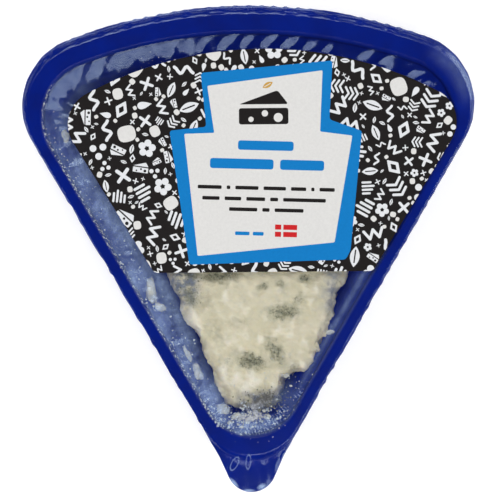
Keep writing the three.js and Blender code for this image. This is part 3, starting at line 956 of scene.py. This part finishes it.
def along_left(count, low, high, first, last, mean):
    """Specks inside the mouth's left edge, between two heights in the frame."""
    left = [at for at in mouth(0) if at[0] < 0 and first < at[1] < last]
    away_from_left = np.array([cos(HALF_ANGLE), sin(HALF_ANGLE)])
    places = []
    for _ in range(count):
        inwards = 0.25 + draw.exponential(mean)
        x, y = left[draw.integers(len(left))] + inwards * away_from_left
        places.append(speck(x, y, low, high, 4, 1.7))
    return places


LUMPS = [
    # x, y, half-length, half-width, half-height, turn
    (-27.3, -11.8, 3.4, 1.6, 0.9, 1.75),
    (-24.9, -15.9, 1.9, 1.0, 0.8, -0.45),
    (-17.5, -28.9, 2.2, 0.8, 0.6, 1.95),
    (-14.8, -33.7, 2.9, 1.1, 0.8, 1.95),
    (-7.7, -44.6, 2.0, 1.3, 1.0, -0.5),
    (22.0, -23.3, 1.2, 0.7, 0.6, 0.1),
    (10.0, -35.3, 0.9, 0.6, 0.5, 0.2),
    (11.1, -38.1, 0.4, 0.35, 0.3, 0.0),
    (7.2, -41.9, 0.4, 0.35, 0.3, 0.0),
    (-50.7, 31.6, 1.6, 1.2, 0.3, 1.5),
    (-4.1, -46.3, 1.4, 0.9, 0.6, 0.2),
    (-0.4, -47.4, 1.1, 0.8, 0.6, 0.9),
    (-6.0, -48.2, 0.8, 0.5, 0.4, 0.3),
    (-2.6, -49.3, 0.7, 0.4, 0.4, 0.1),
]
lumps = crumbs("cheese_lumps", LUMPS + scattered(30, (-0.6, -46.9), (3.4, 1.1), 0.22, 0.7), 4, 0.2)
# Pressed flat, a lump thins out towards its rim, and the tray shows through there.
LUMP_PALE = srgb(204, 204, 190)
LUMP_WET = srgb(158, 168, 178)
material("lump_paste", lumps)
lump_face = {
    "Base Color": blend(spread(grain(1.8, 3, 0.6), 0.42, 0.66), LUMP_PALE, LUMP_WET),
    "Normal": bumped(grain(0.6, 3, 0.6), 0.08),
    "Roughness": 0.6,
}
solid = field("solid")
solid = times(solid, spread(grain(0.9, 3, 0.6), 0.3, 0.6, 0.55, 1.0))
thin = node("BsdfTransparent")
faded = node("MixShader", {0: solid, 1: thin, 2: coat(lump_face)})
show(faded)

specks = along_left(620, 0.06, 0.26, -50, 46, 0.45)
specks += along_left(420, 0.06, 0.26, -50, 40, 3.6)
specks += scattered(190, (-1, -47), (6, 2.4), 0.07, 0.34)
specks += scattered(30, (-26, 52), (3.5, 1.2), 0.06, 0.16)
specks += scattered(60, (12, -40), (5, 5), 0.07, 0.2)
fine_specks = crumbs("cheese_specks", specks, 1, 0.2)
material("dried_whey", fine_specks)
whey = blend(grain(1.2, 2), srgb(200, 204, 200), srgb(166, 180, 200))
coat({"Base Color": whey, "Roughness": 0.6})

grains = scattered(210, (3.9, -42.2), (3.0, 1.9), 0.07, 0.26)
grains += scattered(50, (-16.6, -11.5), (2.2, 2.4), 0.07, 0.24)
dark_grains = crumbs("mould_grains", grains, 1, 0.2)
material("mould_grain", dark_grains)
mould_hue = blend(grain(0.6, 2), MOULD_GREEN, MOULD_DARK)
coat({"Base Color": mould_hue, "Roughness": 0.7})

# Label.
# A printed paper label is stuck on the film. Its ground is black with small white figures all over, and
# a blue stepped frame in the middle holds an off-white panel, on which bars stand for the lines of type.
LABEL = 0.2
LABEL_GAP = 0.4
LABEL_CENTRE_X = 3.8
LABEL_TOP_Y = 55.2
LABEL_BOTTOM_Y = -6.5
LABEL_WIDTH = 107.5
LABEL_ARC_RADIUS = 104.2
LABEL_SIDE_ANGLE = radians(31.4)
LABEL_CORNER_RADIUS = 9.5
LABEL_FOOT_RADIUS = 2.0
BLACK, WHITE, BLUE, PANEL, GOLD, RED, PAPER = range(7)


def label_outline():
    arc_centre = np.array([0, LABEL_TOP_Y - LABEL_ARC_RADIUS])
    reach = LABEL_ARC_RADIUS - LABEL_CORNER_RADIUS
    corner_angle = asin((LABEL_WIDTH / 2 - LABEL_CORNER_RADIUS) / reach)
    corner = polar(arc_centre, reach, corner_angle)
    square = LABEL_SIDE_ANGLE + pi / 2
    side_top = polar(corner, LABEL_CORNER_RADIUS, square)
    foot_y = LABEL_BOTTOM_Y + LABEL_FOOT_RADIUS
    run = (side_top[1] - foot_y) * tan(LABEL_SIDE_ANGLE)
    foot = np.array([side_top[0] - run - LABEL_FOOT_RADIUS / cos(LABEL_SIDE_ANGLE), foot_y])
    right = [
        arc(foot, LABEL_FOOT_RADIUS, pi, square, 8),
        straight(polar(foot, LABEL_FOOT_RADIUS, square), side_top, 24),
        arc(corner, LABEL_CORNER_RADIUS, square, corner_angle, 20),
        arc(arc_centre, LABEL_ARC_RADIUS, corner_angle, 0, 40),
        [polar(arc_centre, LABEL_ARC_RADIUS, 0)],
    ]
    return mirrored(np.concatenate(right)) + [LABEL_CENTRE_X, 0]


def rounded(corners, radius):
    """A polygon with its corners rounded a little."""
    corners = np.array(corners, float)
    points = []
    for i, at in enumerate(corners):
        back = corners[i - 1] - at
        ahead = corners[(i + 1) % len(corners)] - at
        reach = min(radius, np.hypot(*back) / 2.1, np.hypot(*ahead) / 2.1)
        a = at + back / np.hypot(*back) * reach
        b = at + ahead / np.hypot(*ahead) * reach
        for t in (0, 0.25, 0.5, 0.75, 1):
            points.append((1 - t) ** 2 * a + 2 * t * (1 - t) * at + t * t * b)
    return np.array(points)


def disc(x, y, radius, steps=18):
    return arc((x, y), radius, 0, -tau, steps)


def stroke(x0, y0, x1, y1, width):
    """A straight stroke with rounded ends."""
    turn = atan2(x1 - x0, y1 - y0)
    half = width / 2
    start = polar((x0, y0), half, turn + pi / 2 + np.linspace(0, pi, 7))
    end = polar((x1, y1), half, turn - pi / 2 + np.linspace(0, pi, 7))
    return np.concatenate([start, end])[::-1]


def strokes(points, width):
    return [(WHITE, stroke(*a, *b, width)) for a, b in zip(points, points[1:])]


# Small figures within a circle of radius 1, as inks and polygons.
SLICE = [
    (WHITE, rounded([(-0.95, -0.55), (0.9, -0.55), (0.9, 0.06), (-0.95, 0.06)], 0.1)),
    (WHITE, rounded([(-0.95, 0.2), (0.9, 0.2), (0.5, 0.72)], 0.1)),
    (BLACK, disc(-0.5, -0.36, 0.1)),
    (BLACK, disc(0.02, -0.14, 0.12)),
    (BLACK, disc(0.52, -0.3, 0.17)),
]
turn = -np.linspace(0, tau, 28, endpoint=False)
c, s = np.cos(turn), np.sin(turn)
BLOB = [(PANEL, 0.86 * np.stack([np.sign(c) * np.abs(c) ** 0.7, 0.9 * np.sign(s) * np.abs(s) ** 0.7], 1))]
t = np.linspace(-1, 1, 15)
upper = np.stack([t, 0.46 * (1 - t * t)], 1)
LEAF = [(WHITE, np.concatenate([upper[:-1], -upper[:-1]])[::-1]), (BLACK, stroke(-0.62, 0, 0.55, 0, 0.13))]
ZIGZAG = strokes([(-0.9, -0.4), (-0.45, 0.42), (0, -0.4), (0.45, 0.42), (0.9, -0.4)], 0.27)
PLUS = [(WHITE, stroke(-0.72, 0, 0.72, 0, 0.34)), (WHITE, stroke(0, -0.72, 0, 0.72, 0.34))]
BAR_TOPS = [(-0.66, 0.45), (-0.22, 0.8), (0.22, 0.6), (0.66, 0.3)]
BARS = [(WHITE, stroke(x, -0.62, x, high - 0.1, 0.26)) for x, high in BAR_TOPS]
CHEVRONS = []
for low in (-0.75, -0.2, 0.35):
    CHEVRONS += strokes([(-0.7, low), (0, low + 0.42), (0.7, low)], 0.25)
DOTS = [(WHITE, disc(x, y, 0.33)) for x, y in ((-0.45, -0.38), (0.5, -0.3), (0.0, 0.48))]
petals = [polar((0, 0), 0.52, turn) for turn in np.arange(5) * tau / 5]
FLOWER = [(WHITE, disc(x, y, 0.34, 14)) for x, y in petals] + [(BLACK, disc(0, 0, 0.2, 12))]
WAVE = strokes([(x, 0.32 * sin(x * 5.2)) for x in np.linspace(-0.88, 0.88, 11)], 0.3)
DIAMOND = [
    (WHITE, rounded([(0, 0.92), (-0.62, 0), (0, -0.92), (0.62, 0)], 0.1)),
    (BLACK, rounded([(0, 0.42), (-0.28, 0), (0, -0.42), (0.28, 0)], 0.05)),
]
t = np.linspace(0, tau, 24, endpoint=False)
DROP = [(WHITE, np.stack([0.62 * np.sin(t) * np.sin(t / 2) ** 1.4, -0.9 * np.cos(t)], 1)[::-1])]
FIGURES = [SLICE, BLOB, LEAF, ZIGZAG, PLUS, BARS, CHEVRONS, DOTS, FLOWER, WAVE, DIAMOND, DROP]
# Radius of a figure and how many are tried, the large ones first, so that small ones fill the gaps.
FIGURE_ROOM = 0.94  # share of its radius that a figure keeps free of others
FIGURE_SIZES = [(2.9, 160), (2.3, 700), (1.8, 2200), (1.35, 4000), (0.95, 5000), (0.65, 5000)]
# The stepped frame and the panel in it, anticlockwise from their upper left corners.
FRAME_CORNERS = [(-13.1, 48.7), (-11.7, 33.8), (-21.9, 32.8), (-16.7, -4.3), (26.5, -3.3)]
FRAME_CORNERS += [(27.9, -0.8), (31.4, 32.3), (22.4, 35.5), (23.4, 51.8)]
PANEL_CORNERS = [(-11.3, 45.1), (-9.5, 32.1), (-17.8, 31.9), (-14.4, -1.9)]
PANEL_CORNERS += [(23.5, 1.5), (28.7, 31.0), (19.8, 32.2), (20.6, 49.1)]


def turned(polygon, at, size, turn):
    c, s = cos(turn) * size, sin(turn) * size
    x, y = np.asarray(polygon).T
    return np.stack([at[0] + x * c - y * s, at[1] + x * s + y * c], 1)


draw = np.random.default_rng(7)
placed = np.zeros((0, 3))
figures = []
for size, tries in FIGURE_SIZES:
    for _ in range(tries):
        at = np.array([draw.uniform(-52, 62), draw.uniform(-9, 58)])
        if len(placed) and np.any(np.hypot(*(placed[:, :2] - at).T) < placed[:, 2] + size * FIGURE_ROOM):
            continue
        placed = np.vstack([placed, [*at, size * FIGURE_ROOM]])
        kinds = FIGURES if size > 1 else [BLOB, PLUS, LEAF]
        figure = kinds[draw.integers(len(kinds))]
        turn = draw.uniform(0, tau)
        figures += [(ink, turned(shape, at, size, turn)) for ink, shape in figure]


# Lines of type, as bars in place of words: where a line starts, the height and widths of its bars, the
# gap between them, and the ink.
TYPE_LEAN = radians(-2.0)
TYPE_LINES = [
    (-3.0, 27.4, 2.6, (15.4,), 1.6, BLUE),
    (-10.8, 22.4, 2.8, (17.6, 12.2), 1.8, BLUE),
    (-14.2, 16.8, 1.0, (6.6, 1.0, 6.4, 6.2, 4.2, 0.9, 4.2), 1.4, BLACK),
    (-13.0, 13.7, 1.0, (4.8, 4.6, 5.2, 2.2, 11.8), 1.4, BLACK),
    (-5.6, 10.5, 1.0, (7.8, 2.0, 8.0), 1.4, BLACK),
    (-4.0, 3.8, 1.0, (4.0, 3.0), 0.9, BLUE),
]
print_fields = [(BLACK, label_outline())] + figures
print_fields += [(BLUE, rounded(FRAME_CORNERS, 0.9)), (PANEL, rounded(PANEL_CORNERS, 0.4))]
for ink, shape in SLICE:
    print_fields += [(BLACK if ink == WHITE else PANEL, turned(shape, (4.4, 38.4), 7.4, 0.0))]
for ink, shape in LEAF:
    print_fields += [(GOLD if ink == WHITE else PANEL, turned(shape, (5.4, 45.2), 1.6, 0.5))]
for x, y, high, widths, gap, ink in TYPE_LINES:
    for width in widths:
        bar = rounded([(0, high), (0, 0), (width, 0), (width, high)], high * 0.3)
        print_fields += [(ink, turned(bar, (x, y), 1, TYPE_LEAN))]
        x += (width + gap) * cos(TYPE_LEAN)
        y += (width + gap) * sin(TYPE_LEAN)
FLAG_AT = (7.0, 3.2)
flag = [(0, 3.4), (0, 0), (6.1, 0), (6.1, 3.4)]
print_fields += [(RED, turned(flag, FLAG_AT, 1, TYPE_LEAN))]
cross = [[(1.7, 3.4), (1.7, 0), (2.3, 0), (2.3, 3.4)], [(0, 2.0), (0, 1.4), (6.1, 1.4), (6.1, 2.0)]]
print_fields += [(PANEL, turned(bar, FLAG_AT, 1, TYPE_LEAN)) for bar in cross]


def anticlockwise(shape):
    x, y = np.asarray(shape).T
    turns_left = np.sum(x * np.roll(y, -1) - np.roll(x, -1) * y) > 0
    return shape if turns_left else shape[::-1]


print_fields = [(ink, anticlockwise(shape)) for ink, shape in print_fields]
flat = [Vector(p) for _, shape in print_fields for p in shape]
faces = []
start = 0
for _, shape in print_fields:
    faces.append(list(range(start, start + len(shape))))
    start += len(shape)
GRID = 2.5  # points this far apart let the label follow the film's sag
for x in np.arange(-50, 60, GRID):
    for y in np.arange(-6, 56, GRID):
        flat.append(Vector((x, y)))
cut = delaunay_2d_cdt(flat, [], faces, 1, 1e-5, True)
LABEL_LOW = FILM_LOW + FILM + LABEL_GAP
bm = bmesh.new()
corners = []
for p in cut[0]:
    top = LABEL_LOW + LABEL - float(sag(p.x, p.y))
    corners.append(bm.verts.new((p.x * MM, p.y * MM, top * MM)))
for corner_ids, owners in zip(cut[2], cut[5]):
    if 0 in owners:
        face = bm.faces.new([corners[i] for i in corner_ids])
        face.material_index = print_fields[max(owners)][0]
bmesh.ops.delete(bm, geom=[v for v in bm.verts if not v.link_faces], context="VERTS")
bmesh.ops.recalc_face_normals(bm, faces=bm.faces)
if sum(f.normal.z for f in bm.faces) < 0:
    bmesh.ops.reverse_faces(bm, faces=bm.faces)
bottom = bmesh.ops.extrude_face_region(bm, geom=bm.faces[:], use_keep_orig=True)["geom"]
bmesh.ops.translate(bm, vec=(0, 0, -LABEL * MM), verts=vertices(bottom))
bmesh.ops.recalc_face_normals(bm, faces=bm.faces)
for f in bm.faces:
    if f.normal.z < 0.5:
        f.material_index = PAPER
label = shown("label_sheet", bm, 30)

# Inks on coated paper. The fibres show a little in their tone, their gloss and their relief.
INKS = [
    ("black_ink", (27, 24, 24), 0.4),
    ("white_ink", (215, 217, 220), 0.45),
    ("frame_blue_ink", (10, 116, 185), 0.42),
    ("panel_ink", (211, 210, 208), 0.45),
    ("gold_ink", (190, 150, 70), 0.4),
    ("red_ink", (192, 32, 36), 0.42),
    ("bare_paper", (225, 222, 214), 0.6),
]
for name, hue, roughness in INKS:
    material(name, label)
    fibres = grain(0.7, 4, 0.7, 0.3)
    colour = srgb(*hue)
    duller = [c * 0.93 for c in colour[:3]] + [1.0]
    ink_face = {
        "Base Color": blend(spread(fibres, 0.35, 0.65), colour, duller),
        "Roughness": spread(fibres, 0.3, 0.7, roughness, roughness + 0.12),
        "Normal": bumped(fibres, 0.01),
        "Specular IOR Level": 0.12,
    }
    coat(ink_face)
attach(label, "root")
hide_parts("label")

# Stage.
# A pale plain floor that curves up into a wall all round, soft panels of light, and the camera straight
# above the pack, turned by the little that the pack leans in the picture.
FLOOR_RADIUS = 1.6  # in metres, as the other sizes of the stage
FLOOR_BEND = 0.7
BEND_ROWS = 12
FLOOR_BELOW = 0.0002
bm = bmesh.new()
bmesh.ops.create_circle(bm, cap_ends=True, segments=96, radius=FLOOR_RADIUS)
for step in range(BEND_ROWS):
    turn = pi / 2 * (step + 1) / BEND_ROWS
    outer = [e for e in bm.edges if e.is_boundary]
    pulled = bmesh.ops.extrude_edge_only(bm, edges=outer)["geom"]
    for v in vertices(pulled):
        way = Vector((v.co.x, v.co.y, 0)).normalized()
        v.co = way * (FLOOR_RADIUS + FLOOR_BEND * sin(turn))
        v.co.z = FLOOR_BEND * (1 - cos(turn))
floor = shown("floor", bm, 60)
floor.location.z = -FLOOR_BELOW
material("pale_paper_floor", floor)
tone = blend(grain(3.0, 2), srgb(250, 250, 250), srgb(246, 246, 247))
paper_face = {
    "Base Color": tone,
    "Roughness": 0.8,
    "Specular IOR Level": 0.2,
    "Emission Color": (1, 1, 1, 1),
    "Emission Strength": 0.3,  # the sweep is lit from below as well
}
coat(paper_face)

# Soft panels that face the pack: compass direction, angle off the vertical, distance, size, radiance,
# and whether the film mirrors them. One that isn't mirrored lights the pack and leaves no gleam on it.
PANELS = [
    ("front_key", 143, 27, 0.8, 0.5, 2.2, True),
    ("left_fill", 285, 40, 0.9, 0.5, 4.4, False),
    ("right_fill", 60, 60, 0.9, 0.7, 2.9, True),
    ("back_fill", 350, 30, 0.9, 0.46, 2.5, True),
    ("low_front_fill", 190, 50, 0.9, 0.5, 3.5, False),
]
for name, azimuth, off_top, distance, size, radiance, in_mirror in PANELS:
    lamp = bpy.data.lights.new(name, "AREA")
    lamp.shape = "SQUARE"
    lamp.size = size
    lamp.energy = radiance * size * size * pi
    made = bpy.data.objects.new(name, lamp)
    a, t = radians(azimuth), radians(off_top)
    way = Vector((sin(a) * sin(t), cos(a) * sin(t), cos(t)))
    made.location = way * distance
    made.rotation_euler = way.to_track_quat("Z", "Y").to_euler()
    made.visible_camera = False
    made.visible_glossy = in_mirror
    scene.collection.objects.link(made)
world = bpy.data.worlds.new("studio")
world.use_nodes = True
sky = world.node_tree.nodes["Background"].inputs
sky["Color"].default_value = (1, 1, 1, 1)
sky["Strength"].default_value = 0.03
scene.world = world
scene.view_settings.view_transform = "Standard"
scene.view_settings.look = "None"

CAMERA_DISTANCE = 0.9
SEEN_WIDTH = 0.1383  # of the pack's plane, over the whole picture
SENSOR_WIDTH = 36
PACK_LEAN = radians(-0.52)
lens = bpy.data.cameras.new("camera")
lens.sensor_width = SENSOR_WIDTH
lens.lens = SENSOR_WIDTH * CAMERA_DISTANCE / SEEN_WIDTH
camera = bpy.data.objects.new("camera", lens)
camera.location = (0.0001, -0.0004, TRAY_HEIGHT * MM + CAMERA_DISTANCE)
camera.rotation_euler = (0, 0, PACK_LEAN)
scene.collection.objects.link(camera)
scene.camera = camera
